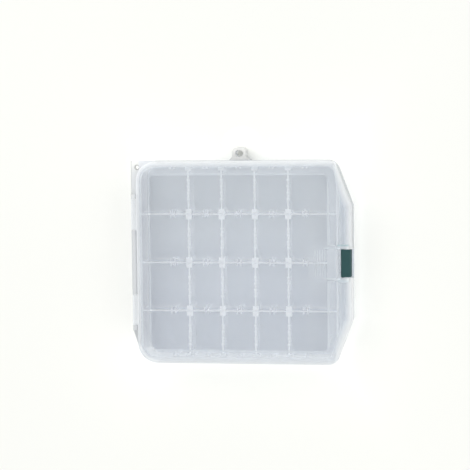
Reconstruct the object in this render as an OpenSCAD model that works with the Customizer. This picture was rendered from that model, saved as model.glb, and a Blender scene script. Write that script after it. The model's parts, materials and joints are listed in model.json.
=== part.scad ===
// Compartment case for small parts: a moulded tray with rows of bins, slide-in dividers,
// a see-through lid on two hinge pins and a swinging latch in the nose of the lid.
// Millimetres. The origin is the middle of the tray's underside, +X runs from the hinge to
// the latch, +Y towards the hang loop and +Z up.

/* [Bins] */
// Number of rows of bins
rows = 4; // [2:1:6]
// Clear width of one row
row_clear = 42.6; // [34:0.1:60]
// Clear length of a row, from the hinge wall to the nose wall
bin_l = 176; // [160:1:240]
// Depth of the bins, from the floor to the rim
bin_depth = 30; // [24:0.5:50]
// Thickness of the floor
floor_t = 1.6; // [1:0.1:3]
// Thickness of the outer walls
wall_t = 2; // [1.2:0.1:3]
// Thickness of the fixed partitions between rows
partition_t = 1.2; // [1:0.1:3]
// Thickness of the wall between the bins and the nose
nose_wall_t = 1.6; // [1:0.1:3]
// How far partitions and dividers stop below the rim
top_drop = 0.6; // [0.2:0.1:2]
// Radius of the bins' two corners beside the nose
bin_corner_r = 11; // [4:0.5:14]
// Chamfer round the underside
base_chamfer = 1.2; // [0.4:0.1:1.4]

/* [Slots] */
// Number of slots along a row
slots = 9; // [3:2:11]
// Distance from slot to slot
slot_pitch = 15; // [12:0.5:16]
// Thickness of one slot rib
rib_t = 1.1; // [0.8:0.1:2]
// Clear gap between the two ribs of a slot
rib_gap = 2.5; // [2:0.1:4]
// How far a rib stands out of its wall
rib_out = 2.4; // [1.5:0.1:4]

/* [Dividers] */
// Thickness of a divider's plate
divider_t = 1.4; // [0.8:0.1:2]
// Clearance between a divider's end and its slot
slot_clear = 0.15; // [0.05:0.01:0.3]
// Thickness of the shoulder that bears on the ribs
shoulder_t = 1.55; // [0.8:0.05:3]
// How far the shoulder and cap stand past the ribs on each side
shoulder_lap = 0.35; // [0.1:0.05:1]
// Thickness of the cap that covers the ribs' tops
cap_t = 1.6; // [0.8:0.1:3]
// Number of finger ridges on a divider's latch side; every second one is on its hinge side too
grip_count = 7; // [3:2:9]
// Distance from finger ridge to finger ridge
grip_pitch = 2.85; // [2:0.05:3]
// Width of a finger ridge
grip_w = 1.2; // [0.6:0.1:1.6]
// How far a finger ridge stands out of the plate
grip_out = 0.8; // [0.2:0.1:1.2]
// Height of the ridged strip under a divider's top edge
grip_h = 10; // [4:0.5:20]

/* [Outline] */
// How far the nose reaches past the bins
nose_l = 15; // [13.5:0.1:22]
// Length of the nose's straight front
nose_flat = 102; // [80:1:120]
// Angle by which the nose's flanks run back
nose_sweep = 20.5; // [15:0.5:24]
// Corner radius where a flank meets the side
nose_r = 10.5; // [6:0.5:14]
// Corner radius where a flank meets the front
front_r = 4; // [3:0.5:12]
// Corner radius of the lid beside the hinge
hinge_corner_r = 18; // [14:0.5:22]

/* [Lid] */
// Thickness of the lid's plate
lid_t = 1.8; // [1.2:0.1:3]
// Gap between the tray's rim and the lid
lid_gap = 0.3; // [0.2:0.1:1]
// Thickness of the lid's skirt
skirt_t = 2.1; // [1.4:0.1:3]
// Gap between the skirt and the tray's wall
skirt_gap = 0.6; // [0.3:0.1:1.2]
// Depth of the skirt below the plate
skirt_h = 10.5; // [6:0.5:14]
// Rounding of the lid's upper edge
lid_edge_r = 1.5; // [0.5:0.1:1.8]
// Distance from the bins' walls to the raised panel
panel_inset = 8; // [5:0.5:14]
// Height of the raised panel
panel_rise = 0.8; // [0.3:0.1:1.5]
// Corner radius of the raised panel
panel_r = 4; // [2:0.5:8]
// Width of the sloped border round the panel and the thumb pad
panel_slope = 0.7; // [0.2:0.1:1.2]
// Length of the thumb pad, hinge to latch
pad_l = 25.8; // [18:0.1:32]
// Distance from the latch's notch to the thumb pad
pad_back = 3; // [1:0.1:6]
// Width of the thumb pad
pad_w = 33.2; // [30:0.1:44]
// Corner radius of the thumb pad
pad_r = 3; // [1:0.5:6]
// Height of the thumb pad over the panel
pad_rise = 0.4; // [0.2:0.1:1]
// Number of ridges on the thumb pad
ridge_count = 5; // [3:1:6]
// Distance from ridge to ridge
ridge_pitch = 2.2; // [1.6:0.1:2.6]
// Width of a ridge
ridge_w = 0.9; // [0.5:0.1:1.2]
// Height of a ridge
ridge_rise = 0.5; // [0.2:0.1:1]
// Distance from the pad's inner end to the first ridge
ridge_start = 6; // [3:0.5:8]
// Length of the two low ribs that lead to the latch
lead_rib_l = 14.5; // [8:0.5:15]
// Width of the two low ribs that lead to the latch
lead_rib_w = 0.9; // [0.6:0.1:1.2]

/* [Ledge] */
// Height of the tray's ledge over the base
ledge_z = 18.5; // [10:0.5:18.5]
// Thickness of the ledge
ledge_t = 2; // [1:0.1:2.4]

/* [Hinge] */
// Radius of the hinge barrels
knuckle_r = 2.2; // [2:0.1:2.6]
// Radius of the hinge pins
pin_r = 1; // [0.8:0.05:1.2]
// How far the hinge pins lie below the rim
hinge_drop = 0.4; // [0.2:0.1:1]
// Distance from the middle of the case to a lid knuckle
knuckle_start = 29; // [20:0.5:32]
// Length of the window for a lid knuckle
knuckle_l = 28.5; // [16:0.5:30]
// End play of a lid knuckle in its window, each side
knuckle_play = 0.4; // [0.2:0.1:1]
// How far a pin runs into the tray's barrels
pin_seat = 4; // [2:0.5:6]
// Gap between the hinge barrel and the lid's edge
hinge_gap = 0.35; // [0.3:0.05:0.8]
// Radial clearance of a turning pin
run_clear = 0.05; // [0.02:0.01:0.1]
// Radial clearance of a pin in the tray's own barrels
seat_clear = 0.02; // [0.01:0.01:0.05]
// Thickness of the hinge flange
flange_t = 3.5; // [2:0.1:4.5]
// Depth of the hinge rail below the pins
rail_h = 5.2; // [4:0.1:8]
// Length of the rail's tapered end
taper_l = 15; // [8:0.5:20]
// Radius of the eye in the square corner
corner_eye_r = 1.6; // [1:0.1:2]
// Distance from the corner's two edges to the eye
corner_eye_in = 5.6; // [4:0.1:6]

/* [Latch] */
// Width of the latch
latch_w = 24.5; // [18:0.5:26]
// Thickness of the latch's top plate
latch_t = 2; // [1.4:0.1:2.4]
// Thickness of the latch's front plate
front_t = 1.8; // [1.4:0.1:2.2]
// How far the latch's finger lip stands out
lip_out = 0.4; // [0.2:0.1:0.6]
// Height of the finger lip
lip_h = 3; // [1.5:0.1:4]
// Distance from the nose's front to the finger lip
latch_back = 1.6; // [0.8:0.1:2]
// Radius of the latch's barrel
barrel_r = 1.9; // [1.7:0.05:2.1]
// Distance from the barrel's middle to the outer face of the front plate
latch_reach = 7.1; // [6.8:0.1:8]
// Radius of the latch's pivots
pivot_r = 1.1; // [0.8:0.05:1.3]
// Length of each pivot
pivot_l = 1.6; // [1:0.1:1.8]
// Gap round the latch in the lid's notch
latch_gap = 0.45; // [0.3:0.05:0.8]
// Thickness of the lid's ears that carry the pivots
ear_t = 1.8; // [1.2:0.1:2.4]
// Thickness of the ears below the pivots
ear_under = 1.5; // [1:0.1:2]
// Gap between the front plate and the tray behind it
catch_gap = 1.3; // [1.2:0.1:1.6]
// How far the tray's catch ridge stands out
catch_out = 0.6; // [0.3:0.05:0.6]
// Length of the catch ridge
catch_l = 13; // [8:0.5:18]
// Distance from the finger lip up to the catch
catch_up = 1.2; // [0.8:0.1:1.6]
// How far the latch's snap nose stands in
snap_out = 0.4; // [0.2:0.05:0.4]
// Height of the finger gap over the ledge
finger_gap = 3; // [2:0.1:4]
// Thickness of the tray's wall behind the latch
bay_wall_t = 1.6; // [1:0.1:2]

/* [Hang loop] */
// Width of the hang loop
loop_w = 12.8; // [12.5:0.1:20]
// Thickness of the hang loop
loop_t = 16.5; // [3:0.5:18]
// Distance from the tray's edge to the middle of the loop's eye
loop_reach = 5.9; // [5:0.1:10]
// Distance from the middle of the eye to the loop's outer end
loop_top = 5.4; // [5:0.1:9]
// Corner radius of the loop's outer end
loop_r = 4.6; // [2:0.1:6]
// Width of the loop's eye
loop_eye_w = 7.7; // [5:0.1:9]
// Height of the loop's eye
loop_eye_h = 6.1; // [4.6:0.1:8]
// How sharply the lower end of the loop's eye is drawn in
loop_eye_draw = 1.3; // [1:0.1:2]
// Width of the loop's foot
loop_foot = 18.6; // [16:0.1:30]

/* [Hidden] */
$fn = 48;
// Angle between the points of a rounded corner
arc_step = 7.5;
// Angles at which the lid's rounded upper edge is stepped
edge_angles = [30, 60, 90];
// Overlap that joins two shapes, and overshoot of a cut
lap = 0.5;

// Levels
rim_z = floor_t + bin_depth;
top_z = rim_z - top_drop;
plate_z = rim_z + lid_gap;
lid_z = plate_z + lid_t;
panel_z = lid_z + panel_rise;
pad_z = panel_z + pad_rise;
ledge_top = ledge_z + ledge_t;

// Rows and slots
row_pitch = row_clear + partition_t;
bin_w = rows * row_pitch - partition_t;
bin_half_l = bin_l / 2;
bin_half_w = bin_w / 2;
divider_slots = [for (i = [1 : 2 : slots - 2]) i];
function row_y(row) = bin_half_w - row_clear / 2 - (row - 1) * row_pitch;
function slot_x(slot) = (slot - (slots - 1) / 2) * slot_pitch;

// Outline of the lid, counter-clockwise from the corner behind the hinge's plain end
cover = skirt_t + skirt_gap;
half_w = bin_half_w + wall_t + cover;
lid_left = -(bin_half_l + wall_t + cover);
nose_x = bin_half_l + nose_l;
flank_x = nose_x - (half_w - nose_flat / 2) * tan(nose_sweep);
case_points = [
    [lid_left, -half_w],
    [flank_x, -half_w],
    [nose_x, -nose_flat / 2],
    [nose_x, nose_flat / 2],
    [flank_x, half_w],
    [lid_left, half_w]
];
case_radii = [hinge_corner_r, nose_r, front_r, front_r, nose_r, hinge_corner_r];
bin_points = [
    [-bin_half_l, -bin_half_w],
    [bin_half_l, -bin_half_w],
    [bin_half_l, bin_half_w],
    [-bin_half_l, bin_half_w]
];
bin_left_r = hinge_corner_r - cover - wall_t;
bin_radii = [bin_left_r, bin_corner_r, bin_corner_r, bin_left_r];

// Hinge
hinge_x = lid_left - hinge_gap - knuckle_r;
hinge_z = rim_z - hinge_drop;
rail_x = hinge_x - knuckle_r;
rail_half = knuckle_start + knuckle_l + pin_seat + lap;
pin_l = knuckle_l + 2 * pin_seat;

// Latch and its bay
lip_x = nose_x - latch_back;
front_x = lip_x - lip_out;
front_in = front_x - front_t;
pivot_x = front_x - latch_reach;
pivot_z = lid_z - barrel_r;
notch_x = pivot_x - barrel_r - latch_gap;
notch_half = latch_w / 2 + latch_gap;
pad_x = notch_x - pad_back - pad_l;
pad_points = [
    [pad_x, -pad_w / 2],
    [pad_x + pad_l, -pad_w / 2],
    [pad_x + pad_l, pad_w / 2],
    [pad_x, pad_w / 2]
];
latch_foot = ledge_top + finger_gap;
bay_x = front_in - catch_gap;
bay_in = bay_x - bay_wall_t;
bay_half = notch_half + lap;
ear_end = bay_in - latch_gap;
ear_z = pivot_z - pivot_r - ear_under;
catch_z = latch_foot + lip_h + catch_up;

// Dividers
divider_l = row_clear - 2 * slot_clear;
tongue_t = rib_gap - 2 * slot_clear;
block_w = rib_gap + 2 * rib_t + 2 * shoulder_lap;
block_l = rib_out + shoulder_t;
cap_z = top_z - cap_t;
rib_z = cap_z - slot_clear;

function divider_name(row, place) = str("divider_row", row, "_", place);

milky = [0.82, 0.86, 0.9, 0.6];
clear = [0.88, 0.92, 0.95, 0.35];
green = [0.19, 0.345, 0.333];
pale = [0.86, 0.87, 0.87];

// Outlines with rounded corners
function unit(v) = v / norm(v);
function left_of(v) = [-v.y, v.x];
function moved_corner(before, corner, after, inset) =
    let (u = unit(corner - before), v = unit(after - corner))
    corner + inset * (left_of(u) + left_of(v)) / (1 + u * v);
function moved_in(points, inset) =
    let (n = len(points))
    [for (i = [0 : n - 1]) moved_corner(points[(i + n - 1) % n], points[i], points[(i + 1) % n], inset)];
function corner_arc(before, corner, after, r) =
    let (
        u = unit(corner - before),
        v = unit(after - corner),
        turn = acos(u * v),
        centre = corner - r * tan(turn / 2) * u + r * left_of(u),
        start = atan2(-u.x, u.y),
        steps = ceil(turn / arc_step)
    )
    [for (k = [0 : steps]) centre + r * [cos(start + turn * k / steps), sin(start + turn * k / steps)]];
function rounded(points, radii, inset = 0) =
    let (p = moved_in(points, inset), n = len(p))
    [for (i = [0 : n - 1])
        each corner_arc(p[(i + n - 1) % n], p[i], p[(i + 1) % n], max(radii[i] - inset, lap))];

module case_shape(inset = 0) {
    polygon(rounded(case_points, case_radii, inset));
}

module slab(z0, z1) {
    translate([0, 0, z0])
        linear_extrude(z1 - z0)
            children();
}

module box_between(low, high) {
    translate(low)
        cube(high - low);
}

// A round bar along Y from y0 to y1
module bar_y(x, z, r, y0, y1) {
    translate([x, y1, z])
        rotate([90, 0, 0])
            cylinder(r = r, h = y1 - y0);
}

// A profile drawn in X and Z, drawn out along Y from -half to half
module drawn_along_y(half) {
    translate([0, half, 0])
        rotate([90, 0, 0])
            linear_extrude(2 * half)
                children();
}

// Tray

module tray_body() {
    slab(base_chamfer, rim_z)
        case_shape(cover);
    hull() {
        slab(0, base_chamfer / 2)
            case_shape(cover + base_chamfer);
        slab(base_chamfer, base_chamfer + lap)
            case_shape(cover);
    }
}

module ledge() {
    slab(ledge_z, ledge_top)
        case_shape();
}

module hinge_flange_shape() {
    polygon([
        [-bin_half_l - lap, -rail_half - taper_l],
        [lid_left, -rail_half - taper_l],
        [rail_x, -rail_half],
        [rail_x, half_w],
        [lid_left + hinge_corner_r, half_w],
        [lid_left + hinge_corner_r, half_w - cover - wall_t / 2],
        [-bin_half_l - lap, half_w - hinge_corner_r]
    ]);
}

module hinge_rail() {
    slab(hinge_z - rail_h, hinge_z - rail_h + flange_t)
        hinge_flange_shape();
    box_between([rail_x, -rail_half, hinge_z - rail_h], [-bin_half_l - lap, rail_half, hinge_z]);
    bar_y(hinge_x, hinge_z, knuckle_r, -rail_half, rail_half);
}

module hinge_cuts() {
    for (side = [-1, 1]) {
        middle = side * (knuckle_start + knuckle_l / 2);
        box_between(
            [rail_x - lap, middle - knuckle_l / 2, hinge_z - rail_h - lap],
            [lid_left + hinge_gap, middle + knuckle_l / 2, hinge_z + knuckle_r + lap]
        );
        bar_y(
            hinge_x, hinge_z, pin_r + seat_clear,
            middle - knuckle_l / 2 - pin_seat - 2 * lap, middle + knuckle_l / 2 + pin_seat + 2 * lap
        );
    }
    translate([rail_x + corner_eye_in, half_w - corner_eye_in, hinge_z - rail_h - lap])
        cylinder(r = corner_eye_r, h = flange_t + 2 * lap);
}

// Point on an oval whose lower end is drawn to a blunt point
function eye_point(a) =
    [loop_eye_w / 2 * cos(a), loop_eye_h / 2 * (sin(a) < 0 ? -pow(-sin(a), loop_eye_draw) : sin(a))];

module hang_loop() {
    middle = half_w + loop_reach;
    foot_y = half_w - cover - lap;
    slab(ledge_top - loop_t, ledge_top)
        difference() {
            union() {
                polygon(rounded(
                    [
                        [-loop_w / 2, foot_y],
                        [loop_w / 2, foot_y],
                        [loop_w / 2, middle + loop_top],
                        [-loop_w / 2, middle + loop_top]
                    ],
                    [lap, lap, loop_r, loop_r]
                ));
                polygon([
                    [-loop_foot / 2, foot_y],
                    [loop_foot / 2, foot_y],
                    [loop_foot / 2, half_w],
                    [loop_w / 2, half_w + loop_reach / 2],
                    [-loop_w / 2, half_w + loop_reach / 2],
                    [-loop_foot / 2, half_w]
                ]);
            }
            translate([0, middle])
                polygon([for (a = [0 : arc_step : 360 - arc_step]) eye_point(a)]);
        }
}

module bin_cavity() {
    slab(floor_t, rim_z + lap)
        polygon(rounded(bin_points, bin_radii));
}

module nose_pocket() {
    slab(floor_t, rim_z + lap)
        difference() {
            intersection() {
                case_shape(cover + wall_t);
                translate([bin_half_l + nose_wall_t, -half_w])
                    square([nose_l, 2 * half_w]);
            }
            translate([bay_in, -bay_half - bay_wall_t])
                square([nose_l, 2 * (bay_half + bay_wall_t)]);
        }
}

module latch_bay() {
    box_between([bay_x, -bay_half, ledge_top], [nose_x + lap, bay_half, rim_z + lap]);
    box_between([bay_in - lap, -bay_half, rim_z - top_drop - latch_gap], [bay_x + lap, bay_half, rim_z + lap]);
}

module catch_ridge() {
    drawn_along_y(catch_l / 2)
        polygon([
            [bay_x - lap, catch_z],
            [bay_x, catch_z],
            [bay_x + catch_out, catch_z + catch_out],
            [bay_x + catch_out, catch_z + 2 * catch_out],
            [bay_x, catch_z + 4 * catch_out],
            [bay_x - lap, catch_z + 4 * catch_out]
        ]);
}

module partitions() {
    slab(floor_t - lap, top_z)
        for (row = [1 : rows - 1])
            translate([-bin_half_l - lap, row_y(row) - row_clear / 2 - partition_t])
                square([bin_l + 2 * lap, partition_t]);
}

// The two ribs of every slot, on both walls of every row
module slot_ribs() {
    slab(floor_t - lap, rib_z)
        for (row = [1 : rows], slot = [0 : slots - 1], side = [-1, 1], wall = [-1, 1]) {
            rib_x = slot_x(slot) + side * (rib_gap + rib_t) / 2;
            rib_y = row_y(row) + wall * (row_clear - rib_out + lap) / 2;
            translate([rib_x, rib_y])
                square([rib_t, rib_out + lap], center = true);
        }
}

module tray() {
    color(milky) {
        difference() {
            union() {
                tray_body();
                ledge();
                hinge_rail();
                hang_loop();
            }
            bin_cavity();
            nose_pocket();
            latch_bay();
            hinge_cuts();
        }
        partitions();
        slot_ribs();
        catch_ridge();
    }
}

// Lid

// Outer form of the lid, with its upper edge rounded
module lid_form() {
    hull() {
        slab(plate_z - skirt_h, lid_z - lid_edge_r)
            case_shape();
        for (a = edge_angles)
            slab(lid_z - lid_edge_r, lid_z - lid_edge_r * (1 - sin(a)))
                case_shape(lid_edge_r * (1 - cos(a)));
    }
}

module panel_shape(inset) {
    polygon(rounded(bin_points, [1, 1, 1, 1] * (panel_r + inset), inset));
}

// The raised panel, with a sloped border
module raised_panel() {
    hull() {
        slab(lid_z - lap, lid_z)
            panel_shape(panel_inset - panel_slope);
        slab(lid_z - lap, panel_z)
            panel_shape(panel_inset);
    }
}

module lid_hollow() {
    slab(plate_z - skirt_h - lap, plate_z)
        case_shape(skirt_t);
    box_between(
        [lid_left - lap, -half_w - lap, plate_z - skirt_h - lap],
        [lid_left + hinge_corner_r + lap, half_w + lap, plate_z]
    );
    slab(plate_z - lap, plate_z + panel_rise)
        panel_shape(panel_inset);
}

module lid_knuckles() {
    for (side = [-1, 1]) {
        middle = side * (knuckle_start + knuckle_l / 2);
        half = knuckle_l / 2 - knuckle_play;
        bar_y(hinge_x, hinge_z, knuckle_r, middle - half, middle + half);
        box_between(
            [hinge_x, middle - half, hinge_z + hinge_gap],
            [lid_left + lid_edge_r + lap, middle + half, hinge_z + knuckle_r]
        );
    }
}

module pad_shape(inset) {
    polygon(rounded(pad_points, [1, 1, 1, 1] * (pad_r + inset), inset));
}

module thumb_pad() {
    hull() {
        slab(lid_z - lap, panel_z)
            pad_shape(0);
        slab(lid_z - lap, pad_z)
            pad_shape(panel_slope);
    }
    slab(pad_z - lap, pad_z + ridge_rise)
        for (i = [0 : ridge_count - 1])
            translate([pad_x + ridge_start + i * ridge_pitch, -latch_w / 2])
                square([ridge_w, latch_w]);
}

module latch_ears() {
    for (side = [-1, 1])
        translate([0, side * (notch_half + ear_t / 2), 0]) {
            box_between([notch_x, -ear_t / 2, ear_z], [ear_end, ear_t / 2, plate_z + lap]);
            box_between([notch_x - lead_rib_l, -lead_rib_w / 2, lid_z - lap], [notch_x, lead_rib_w / 2, pad_z + ridge_rise]);
        }
}

module lid() {
    color(clear)
        difference() {
            union() {
                difference() {
                    union() {
                        lid_form();
                        raised_panel();
                        thumb_pad();
                    }
                    lid_hollow();
                }
                lid_knuckles();
                latch_ears();
            }
            box_between([notch_x, -notch_half, plate_z - skirt_h - lap], [nose_x + lap, notch_half, pad_z + lap]);
            bar_y(pivot_x, pivot_z, pivot_r + run_clear, -notch_half - ear_t - lap, notch_half + ear_t + lap);
            for (side = [-1, 1]) {
                middle = side * (knuckle_start + knuckle_l / 2);
                bar_y(hinge_x, hinge_z, pin_r + run_clear, middle - knuckle_l / 2, middle + knuckle_l / 2);
            }
        }
}

// Latch

module latch_profile() {
    translate([pivot_x, pivot_z])
        circle(r = barrel_r);
    polygon([
        [pivot_x, lid_z],
        [pivot_x, lid_z - latch_t],
        [front_in, lid_z - latch_t],
        [front_in, catch_z],
        [front_in - snap_out, catch_z - snap_out],
        [front_in - snap_out, catch_z - 2 * snap_out],
        [front_in, catch_z - 4 * snap_out],
        [front_in, latch_foot],
        [lip_x, latch_foot],
        [lip_x, latch_foot + lip_h - lip_out],
        [front_x, latch_foot + lip_h],
        [front_x, lid_z - front_t],
        each [for (a = [2 * arc_step : 2 * arc_step : 90])
            [front_x - front_t * (1 - cos(a)), lid_z - front_t * (1 - sin(a))]]
    ]);
}

module latch() {
    color(green) {
        drawn_along_y(latch_w / 2)
            latch_profile();
        bar_y(pivot_x, pivot_z, pivot_r, -latch_w / 2 - pivot_l, latch_w / 2 + pivot_l);
    }
}

// Hinge pins, one for each lid knuckle

module hinge_pin(side) {
    middle = side * (knuckle_start + knuckle_l / 2);
    color(pale)
        bar_y(hinge_x, hinge_z, pin_r, middle - pin_l / 2, middle + pin_l / 2);
}

// Dividers

// A plate with, at each end, a tongue between the slot's ribs, a shoulder that bears on the
// ribs and a cap over their tops
module divider(row, place) {
    translate([slot_x(divider_slots[place - 1]), row_y(row), 0])
        color(milky) {
            slab(floor_t, top_z)
                square([divider_t, divider_l], center = true);
            for (end = [-1, 1]) {
                shoulder_y = end * (row_clear / 2 - rib_out - slot_clear - shoulder_t / 2);
                tongue_y = end * (divider_l - block_l) / 2;
                slab(floor_t, top_z)
                    translate([0, shoulder_y])
                        square([block_w, shoulder_t], center = true);
                slab(floor_t, top_z)
                    translate([0, tongue_y])
                        square([tongue_t, block_l], center = true);
                slab(cap_z, top_z)
                    translate([0, tongue_y])
                        square([block_w, block_l], center = true);
            }
            slab(top_z - grip_h, top_z)
                for (i = [0 : grip_count - 1]) {
                    back = i % 2 == 0 ? grip_out : 0;
                    translate([(grip_out - back) / 2, (i - (grip_count - 1) / 2) * grip_pitch])
                        square([divider_t + grip_out + back, grip_w], center = true);
                }
        }
}

tray();
lid();
latch();
hinge_pin(1);  // hinge_pin_loop_end
hinge_pin(-1);  // hinge_pin_plain_end
for (row = [1 : rows], place = [1 : len(divider_slots)])
    divider(row, place);
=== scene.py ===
"""A compartment case for small parts, dressed for a studio picture taken from above."""

import json
import math

import bmesh
import bpy
from mathutils import Matrix, Vector

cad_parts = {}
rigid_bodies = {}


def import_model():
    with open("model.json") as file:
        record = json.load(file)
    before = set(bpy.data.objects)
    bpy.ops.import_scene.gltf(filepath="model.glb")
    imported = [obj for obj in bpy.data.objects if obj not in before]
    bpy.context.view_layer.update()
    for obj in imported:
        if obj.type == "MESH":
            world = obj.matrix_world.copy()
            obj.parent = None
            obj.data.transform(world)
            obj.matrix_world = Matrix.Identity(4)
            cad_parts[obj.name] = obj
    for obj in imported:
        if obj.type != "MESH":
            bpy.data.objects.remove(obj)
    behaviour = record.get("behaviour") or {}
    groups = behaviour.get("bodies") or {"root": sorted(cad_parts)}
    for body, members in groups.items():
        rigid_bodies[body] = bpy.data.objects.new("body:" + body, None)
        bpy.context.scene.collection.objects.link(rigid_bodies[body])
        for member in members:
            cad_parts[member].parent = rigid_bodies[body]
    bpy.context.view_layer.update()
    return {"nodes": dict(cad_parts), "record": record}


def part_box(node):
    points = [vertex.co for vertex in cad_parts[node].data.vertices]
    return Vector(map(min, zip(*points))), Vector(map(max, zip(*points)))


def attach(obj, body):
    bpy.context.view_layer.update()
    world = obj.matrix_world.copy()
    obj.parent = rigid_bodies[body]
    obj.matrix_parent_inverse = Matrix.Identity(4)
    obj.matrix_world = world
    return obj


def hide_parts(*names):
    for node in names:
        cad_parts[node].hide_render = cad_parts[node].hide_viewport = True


for leftover in list(bpy.data.objects):
    bpy.data.objects.remove(leftover)
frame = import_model()

MM = 0.001


def mount(name):
    """Place of a mount of the case, in millimetres."""
    places = {spot["name"]: spot["pos_m"] for spot in frame["record"]["mounts"]}
    return Vector(places[name]) / MM


# Sizes of the case that the finishes follow, in millimetres, and the sweep of its nose in degrees
tray_start, tray_end = (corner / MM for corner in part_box("tray"))
lid_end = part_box("lid")[1] / MM
BIN_HALF_LENGTH = 88.0
BIN_HALF_WIDTH = 87.0
ROW_PITCH = 43.8
LEDGE_TOP = 20.5
RIB_TOP = 29.25
RIM_TOP = 31.6
RAIL_OUTER = tray_start.x
RAIL_INNER = -90.0
CORNER_EYE = mount("corner_eye")
LOOP_BASE = 91.8
LOOP_TIP = tray_end.y
LOOP_EYE = mount("hang_loop").y
LOOP_EYE_REACH = 4.2
LID_LEFT = -92.7
LID_HALF_WIDTH = lid_end.y
LID_CORNER = 18.0
NOSE_FRONT = lid_end.x
NOSE_HALF_FLAT = 51.0
NOSE_SWEEP = 20.5
PANEL_HALF_LENGTH = 80.0
PANEL_HALF_WIDTH = 79.0
PAD_TOP = 34.9
EAR_START = 88.5
EAR_END = 98.5
EAR_INNER = 12.7
EAR_OUTER = 15.1
LATCH_BOUNCE_END = 16.6

# Rounding of the moulded edges: its size in millimetres and its steps, the angle in degrees from
# which an edge is sharp, and how squarely a face stands that is left flat
EDGE_ROUND = 0.22
ROUND_STEPS = 2
SHARP = 35.0
SQUARE = 0.9999
# Before the rounding: points this close are one, an edge this level is level (in millimetres),
# and faces that meet at less than this angle are one (in degrees)
SAME_POINT = 0.001
SAME_HEIGHT = 0.01
SAME_FACE = 1.0

# Where a finish changes, from the first value to the second.
# Faces, by how squarely they look up:
LOOKS_UP = (0.15, 0.5)
STANDS = (0.05, 0.3)
ROUNDED_FROM = (0.1, 0.3)
ROUNDED_TO = (0.9, 0.98)
# The bins' reach, which is 0 in the middle of the tray and 1 at its outer walls:
OUTER_WALL = (0.93, 0.99)
BY_THE_WALLS = (0.02, 0.5)
# Places on the tray, in millimetres:
NOSE_START = (BIN_HALF_LENGTH + 0.3, BIN_HALF_LENGTH + 0.8)
HINGE_RAIL = (RAIL_INNER - 0.5, RAIL_INNER)
HINGE_WALL = (-BIN_HALF_LENGTH - 0.5, -BIN_HALF_LENGTH + 0.5)
RAIL_END = (40.0, 58.0)
TAB = (79.0, 92.0)
TAB_LINE_START = (50.0, 60.0)
TAB_LINE_WIDTH = (RAIL_OUTER + 0.25, RAIL_OUTER + 1.25)
LOOP_START = (LOOP_BASE, LOOP_BASE + 0.3)
LOOP_SHADING_RISE = (LOOP_BASE, LOOP_TIP)
WALL_FOOT = (2.0, 14.0)
FIRST_BINS = (50.0, 70.0)
LAST_BINS = (55.0, 65.0)
NEAR_ROWS = (-50.0, 60.0)
EDGE_HEIGHT = (RIB_TOP - 0.4, RIB_TOP - 0.25)
LEDGE_HEIGHT = (LEDGE_TOP - 0.4, LEDGE_TOP - 0.25)
RIM_HEIGHT = (RIM_TOP - 0.6, RIM_TOP - 0.3)
# Slot ribs, in millimetres: off the middle of a partition, along a row, and by the long walls:
RIB_FROM = (0.7, 0.9)
RIB_TO = (3.2, 3.4)
RIB_FIELD = (78.0, 80.0)
END_RIBS = (BIN_HALF_WIDTH - 3.0, BIN_HALF_WIDTH - 2.5)
# Round the eyes, in square millimetres from their middles:
EYE_SHADE_SPAN = (2.8, 9.0)
LOOP_EYE_BORE = (LOOP_EYE_REACH**2, (LOOP_EYE_REACH + 0.4) ** 2)
# Places on the lid, in millimetres; an inset is a distance in from the lid's outline:
HINGE_END = (LID_LEFT + 4.0, LID_LEFT + LID_CORNER)
FLANK_START = (BIN_HALF_LENGTH - 2.0, BIN_HALF_LENGTH)
FLANK_WIDTH = (NOSE_HALF_FLAT - 8.0, NOSE_HALF_FLAT + 8.0)
FAR_SIDE = (60.0, 85.0)
RIM_INSET = (0.0, 10.0)
PANEL_END = (PANEL_HALF_LENGTH - 0.1, PANEL_HALF_LENGTH + 0.1)
PANEL_SIDE = (PANEL_HALF_WIDTH - 0.1, PANEL_HALF_WIDTH + 0.1)
PAD_HEIGHT = (PAD_TOP - 0.3, PAD_TOP - 0.1)
RIDGE_HEIGHT = (PAD_TOP + 0.1, PAD_TOP + 0.3)
EARS_FROM = (EAR_START, EAR_START + 1.0)
EARS_TO = (EAR_END, EAR_END + 1.0)
EAR_WIDTH = (EAR_INNER - 0.3, EAR_INNER)
LATCH_BOUNCE_FROM = (EAR_OUTER, EAR_OUTER + 0.4)
LATCH_BOUNCE_TO = (LATCH_BOUNCE_END, LATCH_BOUNCE_END + 0.3)
LATCH_BOUNCE_SIDE = (-5.0, 5.0)
BORDER_INSET = (0.3, 1.3)
FRONT_LINE_INSET = (0.4, 1.4)
FRONT_LINE_START = (76.0, 90.0)
FRONT_LINE_SIDE = (-10.0, 20.0)
NEAR_CORNER = (-84.0, -72.0)
NEAR_CORNER_INSET = (3.0, 7.0)
HINGE_EDGE = (-78.0, -50.0)
HINGE_EDGE_INSET = (2.5, 5.0)
LID_NOSE = (NOSE_FRONT - 12.0, NOSE_FRONT - 3.0)
LONG_SIDES = (LID_HALF_WIDTH - 14.0, LID_HALF_WIDTH - 2.0)
# On the floor, in millimetres from the loop's eye:
LOOP_SHADE = (4.0, 6.0)
LOOP_POOL = (12.0, 32.0)

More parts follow.
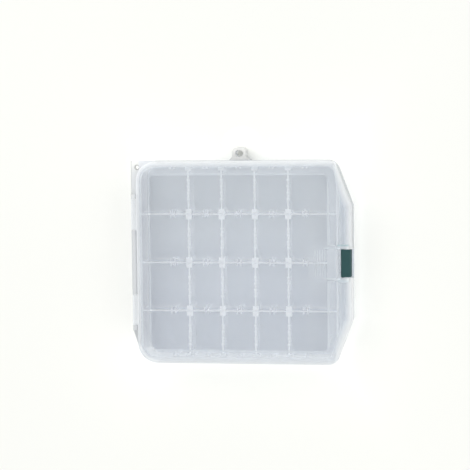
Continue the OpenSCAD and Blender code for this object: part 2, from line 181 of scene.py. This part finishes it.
# Colours of the tray
BIN_FLOOR = (0.575, 0.61, 0.675, 1)
BIN_FLOOR_LIT_BY_WALLS = (0.655, 0.69, 0.745, 1)
BIN_FLOOR_NEAR = (0.59, 0.63, 0.90, 1)
BIN_FLOOR_LAST = (0.69, 0.72, 0.75, 1)
NOSE_FLOOR = (0.67, 0.725, 0.815, 1)
INNER_WALL = (0.93, 0.95, 0.97, 1)
SHADED_WALL = (0.68, 0.71, 0.75, 1)
SHADED_HINGE_WALL = (0.37, 0.38, 0.45, 1)
SHADED_HINGE_FOOT = (0.23, 0.235, 0.30, 1)
UPPER_EDGE = (0.88, 0.89, 0.90, 1)
END_RIB_EDGE = (0.97, 0.975, 0.98, 1)
HINGE_RIM = (0.72, 0.74, 0.76, 1)
RAIL_MIDDLE_TONE = (0.57, 0.585, 0.595, 1)
RAIL_END_TONE = (0.665, 0.68, 0.685, 1)
TAB_TONE = (0.87, 0.88, 0.84, 1)
TAB_LINE_TONE = (0.50, 0.51, 0.50, 1)
CORNER_EYE_SHADE = (0.38, 0.38, 0.36, 1)
# The loop: painted shade at its foot and painted light towards its tip
LOOP_SHADED_FOOT = (0.69, 0.69, 0.665, 1)
LOOP_LIT_TOP = (0.83, 0.83, 0.795, 1)
LIT_LOOP_BORE = (0.97, 0.97, 0.95, 1)
TRAY_MILK = (0.63, 0.665, 0.73, 1)
# Painted glow: none, and the light that the slot ribs give off as if lit from within
UNLIT = (0, 0, 0, 1)
RIB_PAINTED_GLOW = (0.94, 0.97, 1.0, 1)

# Colours of the lid
LID_HAZE = (0.76, 0.80, 0.84, 1)
NEAR_RIM = (0.84, 0.85, 0.86, 1)
FAR_RIM = (0.97, 0.975, 0.965, 1)
SHORT_RIM = (0.80, 0.82, 0.84, 1)
NOSE_RIM = (0.94, 0.94, 0.92, 1)
# Painted shade: dark lines along the lid's outer edge and its nose front
BORDER_SHADE_LINE = (0.60, 0.61, 0.62, 1)
HINGE_EDGE_TONE = (0.96, 0.97, 0.98, 1)
# Painted shade on the lid's near corner by the hinge
NEAR_CORNER_SHADE = (0.60, 0.62, 0.65, 1)
FRONT_SHADE_LINE = (0.50, 0.51, 0.51, 1)
# Painted green bounce light from the latch, on the lid beside its ears
EAR_LATCH_BOUNCE = (0.40, 0.54, 0.55, 1)
LID_MILK = (0.77, 0.81, 0.84, 1)

# Colours of the smaller parts and of the floor
LATCH_DARK = (0.010, 0.046, 0.048, 1)
LATCH_LIGHT = (0.016, 0.060, 0.062, 1)
PIN_DARK = (0.70, 0.71, 0.71, 1)
PIN_LIGHT = (0.80, 0.81, 0.81, 1)
DIVIDER_PLATE = (0.93, 0.95, 0.97, 1)
DIVIDER_EDGE = (0.80, 0.82, 0.84, 1)
DIVIDER_MILK = (0.90, 0.92, 0.94, 1)
PAPER_DARK = (0.722, 0.727, 0.695, 1)
PAPER_LIGHT = (0.728, 0.733, 0.705, 1)
PAPER_POOL = (0.98, 0.985, 0.945, 1)

# How the lighter pool on the floor follows the case, in millimetres, and how fast it fades
POOL_SHIFT = 1.5
POOL_MARGIN = 6.5
POOL_REACH = 30.0
POOL_FADE = -2.2

# Floor: half its side in metres, and how far it lies under the case, in millimetres
FLOOR_SIZE = 8.0
FLOOR_GAP = 0.1

# Plastic: how it bends light, and how strong the painted glow is that its thin ribs, and half as
# much the loop's bore, give off
PLASTIC_IOR = 1.49
PAINTED_GLOW_STRENGTH = 0.16

# Camera: where it stands, where it looks and how it is turned, in millimetres and degrees
CAMERA_AT = (183.0, 152.0, 1400.0)
CAMERA_AIM = (-2.96, 25.05, 31.0)
CAMERA_ROLL = 0.63
CAMERA_LENS = 118.4
SENSOR = 36.0
FARTHEST = 20.0

# Lights: the sky's strength, the lamps' places and size in metres and their watts, and how many
# clear layers the light passes through
SKY_STRENGTH = 1.13
KEY_AT = (-0.9, 0.9, 1.6)
KEY_WATTS = 8.0
FILL_AT = (1.2, -0.6, 1.4)
FILL_WATTS = 5.0
LAMP_SIZE = 1.6
CLEAR_LAYERS = 64


class Shade:
    """A value, colour or vector in a finish, with arithmetic that adds Math nodes."""

    def __init__(self, finish, socket):
        self.finish = finish
        self.socket = socket

    def _math(self, operation, first, second):
        return self.finish.node("Math", {"operation": operation}, {0: first, 1: second})

    def __add__(self, other):
        return self._math("ADD", self, other)

    def __radd__(self, other):
        return self._math("ADD", other, self)

    def __sub__(self, other):
        return self._math("SUBTRACT", self, other)

    def __rsub__(self, other):
        return self._math("SUBTRACT", other, self)

    def __mul__(self, other):
        return self._math("MULTIPLY", self, other)

    def __rmul__(self, other):
        return self._math("MULTIPLY", other, self)

    def __abs__(self):
        return self._math("ABSOLUTE", self, 0.0)


class Finish:
    """A material, and the ways in which its nodes are added."""

    def __init__(self, name):
        self.material = bpy.data.materials.new(name)
        self.material.use_nodes = True
        self.tree = self.material.node_tree
        self.tree.nodes.clear()

    def node(self, kind, settings=None, sockets=None, out=0):
        """Adds a node: its settings first, then the values or links of its sockets."""
        node = self.tree.nodes.new("ShaderNode" + kind)
        for name, value in (settings or {}).items():
            setattr(node, name, value)
        for name, value in (sockets or {}).items():
            if isinstance(value, Shade):
                self.tree.links.new(value.socket, node.inputs[name])
            else:
                node.inputs[name].default_value = value
        return Shade(self, node.outputs[out])

    def step(self, value, low, high):
        """0 below low, 1 above high, and smooth between them."""
        return self.node(
            "MapRange", {"interpolation_type": "SMOOTHSTEP"}, {0: value, 1: low, 2: high}
        )

    def fade(self, value, low, high):
        """1 below low, 0 above high, and smooth between them."""
        return 1.0 - self.step(value, low, high)

    def blend(self, factor, first, second):
        """A colour between two colours."""
        return self.node("Mix", {"data_type": "RGBA"}, {0: factor, 6: first, 7: second}, 2)

    def larger(self, first, second):
        return self.node("Math", {"operation": "MAXIMUM"}, {0: first, 1: second})

    def smaller(self, first, second):
        return self.node("Math", {"operation": "MINIMUM"}, {0: first, 1: second})

    def spread(self, first, second):
        """Square of the slope over two sides."""
        return first * first + second * second

    def length(self, first, second):
        """Length of the slope over two sides."""
        return self.node("Math", {"operation": "SQRT"}, {0: self.spread(first, second)})

    def places(self):
        """Distances along X, Y and Z in millimetres, in the case's own frame."""
        spot = self.node("TexCoord", out="Object")
        scaled = self.node("VectorMath", {"operation": "SCALE"}, {0: spot, "Scale": 1 / MM})
        return [self.node("SeparateXYZ", None, {0: scaled}, axis) for axis in range(3)]

    def facing_up(self):
        """How squarely a face looks up, from -1 to 1."""
        normal = self.node("TexCoord", out="Normal")
        return self.node("SeparateXYZ", None, {0: normal}, 2)

    def grain(self, size, detail=2.0):
        """Soft cloudy variation from 0 to 1, with patches of about that size in millimetres."""
        spot = self.node("TexCoord", out="Object")
        return self.node(
            "TexNoise", None, {"Vector": spot, "Scale": 1 / (size * MM), "Detail": detail}
        )

    def relief(self, height, depth):
        """A normal that follows a height from 0 to 1, that deep in millimetres."""
        return self.node("Bump", None, {"Height": height, "Distance": depth * MM}, "Normal")

    def shader(self, kind, sockets):
        return self.node(kind, None, sockets)

    def mingle(self, share, first, second):
        """A shader that is the second by that share, and else the first."""
        return self.node("MixShader", None, {0: share, 1: first, 2: second})

    def done(self, shader):
        """Ends the finish with that shader and gives the material."""
        self.tree.links.new(
            shader.socket, self.tree.nodes.new("ShaderNodeOutputMaterial").inputs["Surface"]
        )
        return self.material


def moulded_plastic(finish, colour, cover, roughness, normal, glow, milk_colour, painted_glow=None):
    """See-through plastic: cover is how much it hides, glow how much light comes through it.

    Where painted_glow is given, it is the colour of a painted glow that the plastic gives off, in
    place of light led down inside thin ribs from their tops.
    """
    sockets = {
        "Base Color": colour,
        "Roughness": roughness,
        "IOR": PLASTIC_IOR,
        "Normal": normal,
    }
    if painted_glow:
        sockets["Emission Color"] = painted_glow
        sockets["Emission Strength"] = PAINTED_GLOW_STRENGTH
    skin = finish.shader("BsdfPrincipled", sockets)
    milk = finish.shader("BsdfTranslucent", {"Color": milk_colour, "Normal": normal})
    clear = finish.shader("BsdfTransparent", {"Color": (1, 1, 1, 1)})
    return finish.done(finish.mingle(cover, clear, finish.mingle(glow, skin, milk)))


def eighth(value):
    """The eighth power, which stays near 0 over most of the bins and rises to 1 at their walls."""
    square = value * value
    fourth = square * square
    return fourth * fourth


def lid_inset(finish, x, y):
    """Distance in from the lid's outline, in millimetres, and at most its corner radius."""
    along = finish.larger(LID_LEFT + LID_CORNER - x, 0.0)
    across = finish.larger(abs(y) - (LID_HALF_WIDTH - LID_CORNER), 0.0)
    sides = LID_CORNER - finish.length(along, across)
    sweep = math.radians(NOSE_SWEEP)
    front = NOSE_FRONT - x
    flanks = front * math.cos(sweep) + (NOSE_HALF_FLAT - abs(y)) * math.sin(sweep)
    return finish.smaller(sides, finish.smaller(front, flanks))


def bin_floor(finish, x, y, reach, nose):
    """Colour of the tray's floor: painted paler by the walls against their shade, bluer in the
    near rows and in the nose.
    """
    # Painted light: the floor is paler by the walls, against the shade they cast
    lit_by_walls = finish.step(reach, *BY_THE_WALLS) * finish.fade(x, *FIRST_BINS)
    colour = finish.blend(lit_by_walls, BIN_FLOOR, BIN_FLOOR_LIT_BY_WALLS)
    colour = finish.blend(0.17 * finish.fade(y, *NEAR_ROWS), colour, BIN_FLOOR_NEAR)
    colour = finish.blend(0.25 * finish.step(x, *LAST_BINS), colour, BIN_FLOOR_LAST)
    return finish.blend(nose, colour, NOSE_FLOOR)


def hinge_rail(finish, x, y):
    """Colour of the hinge rail: paler towards its square corner, with painted shade round the eye
    there.
    """
    colour = finish.blend(finish.step(y, *RAIL_END), RAIL_MIDDLE_TONE, RAIL_END_TONE)
    colour = finish.blend(finish.step(y, *TAB), colour, TAB_TONE)
    line = finish.step(y, *TAB_LINE_START) * finish.fade(x, *TAB_LINE_WIDTH)
    colour = finish.blend(0.7 * line, colour, TAB_LINE_TONE)
    # Painted shade: a dark ring round the corner eye, for the shade in and under it
    eye_shade = finish.fade(finish.spread(x - CORNER_EYE.x, y - CORNER_EYE.y), *EYE_SHADE_SPAN)
    return finish.blend(eye_shade, colour, CORNER_EYE_SHADE)


def tray_plastic():
    """Milky plastic: clear enough to see the table through, white on its upper edges."""
    finish = Finish("tray_plastic")
    x, y, z = finish.places()
    level = finish.facing_up()
    up = finish.step(level, *LOOKS_UP)
    wall = finish.fade(abs(level), *STANDS)
    reach = eighth(x * (1 / BIN_HALF_LENGTH)) + eighth(y * (1 / BIN_HALF_WIDTH))
    nose = finish.step(x, *NOSE_START)
    outer = wall * (1.0 - nose) * finish.step(reach, *OUTER_WALL)
    edge = up * finish.step(z, *EDGE_HEIGHT)
    ledge = up * finish.step(z, *LEDGE_HEIGHT)
    foot = finish.fade(z, *WALL_FOOT)
    rail = finish.fade(x, *HINGE_RAIL)
    hinge_side = finish.fade(x, *HINGE_WALL)
    loop = finish.step(y, *LOOP_START)
    bore = wall * finish.fade(finish.spread(x, y - LOOP_EYE), *LOOP_EYE_BORE)
    off_row = finish.node("Math", {"operation": "PINGPONG"}, {0: y, 1: ROW_PITCH / 2})
    rib = wall * finish.step(off_row, *RIB_FROM) * finish.fade(off_row, *RIB_TO)
    rib = rib * finish.fade(abs(x), *RIB_FIELD)

    cover = (
        0.33
        + 0.05 * finish.grain(22.0)
        - 0.2 * wall
        + (0.3 + 0.15 * hinge_side) * outer
        + 0.1 * rib * (1.0 - outer)
        + 0.15 * foot * hinge_side * outer
    )
    cover = finish.larger(cover, finish.larger(0.92 * edge, 0.6 * ledge))
    cover = finish.larger(cover, 0.95 * loop)

    colour = finish.blend(wall, bin_floor(finish, x, y, reach, nose), INNER_WALL)
    hinge_shade = finish.blend(foot, SHADED_HINGE_WALL, SHADED_HINGE_FOOT)
    colour = finish.blend(outer, colour, finish.blend(hinge_side, SHADED_WALL, hinge_shade))
    rims = finish.blend(finish.step(abs(y), *END_RIBS), UPPER_EDGE, END_RIB_EDGE)
    rims = finish.blend(hinge_side * finish.step(z, *RIM_HEIGHT), rims, HINGE_RIM)
    colour = finish.blend(edge, colour, rims)
    colour = finish.blend(rail, colour, hinge_rail(finish, x, y))
    # Painted shade and light on the loop: darker at its foot, under the lid's edge, lighter
    # towards its rounded tip
    lug_shading = finish.blend(finish.step(y, *LOOP_SHADING_RISE), LOOP_SHADED_FOOT, LOOP_LIT_TOP)
    # Painted light: the loop's bore is made pale against the shade inside it
    colour = finish.blend(loop, colour, finish.blend(bore, lug_shading, LIT_LOOP_BORE))
    return moulded_plastic(
        finish,
        colour=colour,
        cover=cover,
        roughness=0.32 + 0.1 * finish.grain(3.0),
        normal=finish.relief(finish.grain(0.6), depth=0.02),
        glow=0.45 - 0.25 * loop - 0.25 * rail - 0.3 * hinge_side * outer - 0.2 * rib,
        milk_colour=TRAY_MILK,
        # A painted glow on the slot ribs, and half as much in the loop's bore
        painted_glow=finish.blend(finish.larger(rib, 0.5 * bore), UNLIT, RIB_PAINTED_GLOW),
    )


def lid_plastic():
    """Clear plastic with a slight haze, whiter towards the thick rim."""
    finish = Finish("lid_plastic")
    x, y, z = finish.places()
    level = finish.facing_up()
    inset = lid_inset(finish, x, y)
    # Faces on the rounded edges are made more opaque, which paints a highlight along them
    rounded = finish.step(level, *ROUNDED_FROM) * finish.fade(level, *ROUNDED_TO)
    hinge_end = finish.fade(x, *HINGE_END)
    flank = finish.step(x, *FLANK_START) * finish.step(abs(y), *FLANK_WIDTH)
    far_side = finish.step(y, *FAR_SIDE)
    thin_rim = 1.0 + 0.6 * hinge_end + 0.3 * far_side * (1.0 - hinge_end)
    rim = finish.fade(inset * thin_rim, *RIM_INSET)
    panel_frame = finish.larger(
        finish.step(abs(x), *PANEL_END),
        finish.step(abs(y), *PANEL_SIDE),
    )
    pad = finish.step(z, *PAD_HEIGHT)
    ridges = finish.step(z, *RIDGE_HEIGHT)
    ears = finish.step(x, *EARS_FROM) * finish.fade(x, *EARS_TO)
    thick = ears * finish.step(abs(y), *EAR_WIDTH) * finish.fade(abs(y), *LATCH_BOUNCE_TO)
    # Painted bounce light: the green latch's light tints the plate beside its ears, more on one
    # side
    latch_bounce = thick * finish.step(abs(y), *LATCH_BOUNCE_FROM)
    latch_bounce = latch_bounce * (0.35 + 0.65 * finish.step(y, *LATCH_BOUNCE_SIDE))
    # Painted shade: a dark line along the lid's outer edge, where light is bent away, and along
    # its nose front
    border = finish.fade(inset, *BORDER_INSET) * (1.0 - hinge_end)
    front_line = finish.fade(inset, *FRONT_LINE_INSET) * finish.step(x, *FRONT_LINE_START)
    front_line = front_line * finish.step(y, *FRONT_LINE_SIDE)
    # Painted shade at the lid's corner by the hinge, on the near side, darker and more opaque
    near_corner_shade = hinge_end * finish.fade(y, *NEAR_CORNER)
    near_corner_shade = near_corner_shade * finish.fade(inset, *NEAR_CORNER_INSET)
    hinge_edge = hinge_end * finish.fade(inset, *HINGE_EDGE_INSET)
    hinge_edge = hinge_edge * finish.step(y, *HINGE_EDGE)
    slant = finish.node("LayerWeight", None, {"Blend": 0.5}, "Facing")

    cover = (
        0.06
        + 0.02 * finish.grain(30.0)
        + 0.09 * panel_frame
        + 0.04 * finish.step(x, *PANEL_END)
        + (0.5 - 0.2 * hinge_end + 0.1 * far_side) * rim
        + 0.3 * slant * slant
        + 0.3 * thick
        + 0.15 * border
        + 0.1 * front_line
        + 0.2 * rounded
        + 0.11 * pad
        + 0.16 * ridges
        + 0.05 * flank
        + 0.2 * near_corner_shade
        + 0.08 * hinge_edge
    )

    across = finish.step(y, -LID_HALF_WIDTH, LID_HALF_WIDTH)
    long_rim = finish.blend(across, NEAR_RIM, FAR_RIM)
    pale_end = finish.larger(flank, finish.step(x, *LID_NOSE))
    short_rim = finish.blend(pale_end, SHORT_RIM, NOSE_RIM)
    rim_tone = finish.blend(finish.step(abs(y), *LONG_SIDES), short_rim, long_rim)
    colour = finish.blend(rim, LID_HAZE, rim_tone)
    colour = finish.blend(border * (0.35 - 0.05 * across), colour, BORDER_SHADE_LINE)
    colour = finish.blend(0.5 * hinge_edge, colour, HINGE_EDGE_TONE)
    colour = finish.blend(0.7 * near_corner_shade, colour, NEAR_CORNER_SHADE)
    colour = finish.blend(0.8 * front_line, colour, FRONT_SHADE_LINE)
    colour = finish.blend(latch_bounce, colour, EAR_LATCH_BOUNCE)
    return moulded_plastic(
        finish,
        colour=colour,
        cover=cover,
        roughness=0.2 + 0.08 * finish.grain(8.0),
        normal=finish.relief(finish.grain(0.9), depth=0.01),
        glow=0.35,
        milk_colour=LID_MILK,
    )


def divider_plastic():
    """The tray's milky plastic, a little whiter in the thin loose plates."""
    finish = Finish("divider_plastic")
    height = finish.places()[2]
    edge = finish.step(finish.facing_up(), *LOOKS_UP) * finish.step(height, *EDGE_HEIGHT)
    return moulded_plastic(
        finish,
        colour=finish.blend(edge, DIVIDER_PLATE, DIVIDER_EDGE),
        cover=finish.larger(0.11 + 0.04 * finish.grain(9.0), 0.8 * edge),
        roughness=0.34 + 0.1 * finish.grain(2.5),
        normal=finish.relief(finish.grain(0.5), depth=0.02),
        glow=0.45,
        milk_colour=DIVIDER_MILK,
    )


def latch_plastic():
    """Opaque dark green plastic with a fine moulded texture."""
    finish = Finish("latch_plastic")
    sockets = {
        "Base Color": finish.blend(finish.grain(6.0), LATCH_DARK, LATCH_LIGHT),
        "Roughness": 0.38 + 0.14 * finish.grain(1.2),
        "Specular IOR Level": 0.25,
        "Normal": finish.relief(finish.grain(0.35, detail=4.0), depth=0.03),
    }
    return finish.done(finish.shader("BsdfPrincipled", sockets))


def pin_plastic():
    """Natural white plastic rod, faintly cloudy."""
    finish = Finish("pin_plastic")
    cloud = finish.grain(2.0)
    sockets = {
        "Base Color": finish.blend(cloud, PIN_DARK, PIN_LIGHT),
        "Roughness": 0.3 + 0.1 * cloud,
        "Normal": finish.relief(finish.grain(0.5), depth=0.02),
    }
    return finish.done(finish.shader("BsdfPrincipled", sockets))


def outer_rim(edge):
    """Whether an edge is a level, outward and sharp one that is long enough to round."""
    first, second = (corner.co.z for corner in edge.verts)
    return (
        edge.is_convex
        and abs(first - second) < SAME_HEIGHT * MM
        and edge.calc_length() > 2 * EDGE_ROUND * MM
        and edge.calc_face_angle() > math.radians(SHARP)
    )


def soft_edged(node):
    """A copy of a part with its level outward edges rounded a little, as moulded ones are."""
    form = bmesh.new()
    form.from_mesh(frame["nodes"][node].data)
    bmesh.ops.remove_doubles(form, verts=form.verts, dist=SAME_POINT * MM)
    bmesh.ops.dissolve_limit(
        form, angle_limit=math.radians(SAME_FACE), verts=form.verts, edges=form.edges
    )
    bmesh.ops.bevel(
        form,
        geom=[edge for edge in form.edges if outer_rim(edge)],
        offset=EDGE_ROUND * MM,
        segments=ROUND_STEPS,
        profile=0.5,
        affect="EDGES",
    )
    mesh = bpy.data.meshes.new(node + "_moulded")
    form.to_mesh(mesh)
    form.free()
    for face in mesh.polygons:
        face.use_smooth = max(abs(part) for part in face.normal) < SQUARE
    mesh.set_sharp_from_angle(angle=math.radians(SHARP))
    piece = bpy.data.objects.new(node + "_moulded", mesh)
    bpy.context.scene.collection.objects.link(piece)
    return piece


def dress():
    """Puts a rounded and finished copy in the place of every part."""
    finishes = {
        "tray_plastic": tray_plastic(),
        "lid_plastic": lid_plastic(),
        "divider_plastic": divider_plastic(),
        "latch_plastic": latch_plastic(),
        "pin_plastic": pin_plastic(),
    }
    bodies = frame["record"]["behaviour"]["bodies"]
    body_of = {node: body for body, nodes in bodies.items() for node in nodes}
    for part in frame["record"]["subparts"]:
        node = part["node"]
        piece = soft_edged(node)
        piece.data.materials.append(finishes[part["material_slot"]])
        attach(piece, body_of[node])
        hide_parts(node)


def camera():
    """A camera high above the case, turned as the photo's was."""
    data = bpy.data.cameras.new("camera")
    data.sensor_width = SENSOR
    data.lens = CAMERA_LENS
    data.clip_end = FARTHEST
    eye = bpy.data.objects.new("camera", data)
    bpy.context.scene.collection.objects.link(eye)
    at = Vector(CAMERA_AT) * MM
    away = (at - Vector(CAMERA_AIM) * MM).normalized()
    roll = math.radians(CAMERA_ROLL)
    top = Vector((math.sin(roll), math.cos(roll), 0.0))
    right = top.cross(away).normalized()
    turn = Matrix((right, away.cross(right), away)).transposed()
    eye.matrix_world = Matrix.Translation(at) @ turn.to_4x4()
    bpy.context.scene.camera = eye


def floor():
    """Pale paper, lighter round the case to make up for its soft shade, but not under the loop."""
    mesh = bpy.data.meshes.new("floor")
    corners = [(-FLOOR_SIZE, -FLOOR_SIZE), (FLOOR_SIZE, -FLOOR_SIZE)]
    corners += [(FLOOR_SIZE, FLOOR_SIZE), (-FLOOR_SIZE, FLOOR_SIZE)]
    mesh.from_pydata([(x, y, -FLOOR_GAP * MM) for x, y in corners], [], [(0, 1, 2, 3)])
    plane = bpy.data.objects.new("floor", mesh)
    bpy.context.scene.collection.objects.link(plane)
    finish = Finish("floor_paper")
    x, y = finish.places()[:2]
    away = finish.larger(-POOL_MARGIN - lid_inset(finish, x + POOL_SHIFT, y), 0.0)
    faded = 1.0 + away * (1 / POOL_REACH)
    pool = finish.node("Math", {"operation": "POWER"}, {0: faded, 1: POOL_FADE})
    off_loop = finish.length(x, y - LOOP_EYE)
    pool = finish.larger(pool, finish.fade(off_loop, *LOOP_POOL))
    pool = pool * finish.step(off_loop, *LOOP_SHADE)
    paper = finish.blend(finish.grain(400.0), PAPER_DARK, PAPER_LIGHT)
    tone = finish.blend(pool, paper, PAPER_POOL)
    sockets = {"Base Color": tone, "Roughness": 0.9}
    mesh.materials.append(finish.done(finish.shader("BsdfPrincipled", sockets)))


def light(name, at, watts):
    """A round lamp that looks at the middle of the case."""
    data = bpy.data.lights.new(name, "AREA")
    data.shape = "DISK"
    data.size = LAMP_SIZE
    data.energy = watts
    lamp = bpy.data.objects.new(name, data)
    lamp.location = at
    lamp.rotation_euler = Vector(at).to_track_quat("Z", "Y").to_euler()
    bpy.context.scene.collection.objects.link(lamp)


def studio():
    """An even white sky with two weak lamps."""
    world = bpy.data.worlds.new("studio")
    bpy.context.scene.world = world
    world.use_nodes = True
    sky = world.node_tree.nodes["Background"]
    sky.inputs["Color"].default_value = (1.0, 1.0, 1.0, 1.0)
    sky.inputs["Strength"].default_value = SKY_STRENGTH
    light("key", KEY_AT, KEY_WATTS)
    light("fill", FILL_AT, FILL_WATTS)
    scene = bpy.context.scene
    scene.view_settings.view_transform = "Standard"
    scene.cycles.transparent_max_bounces = CLEAR_LAYERS


dress()
camera()
floor()
studio()
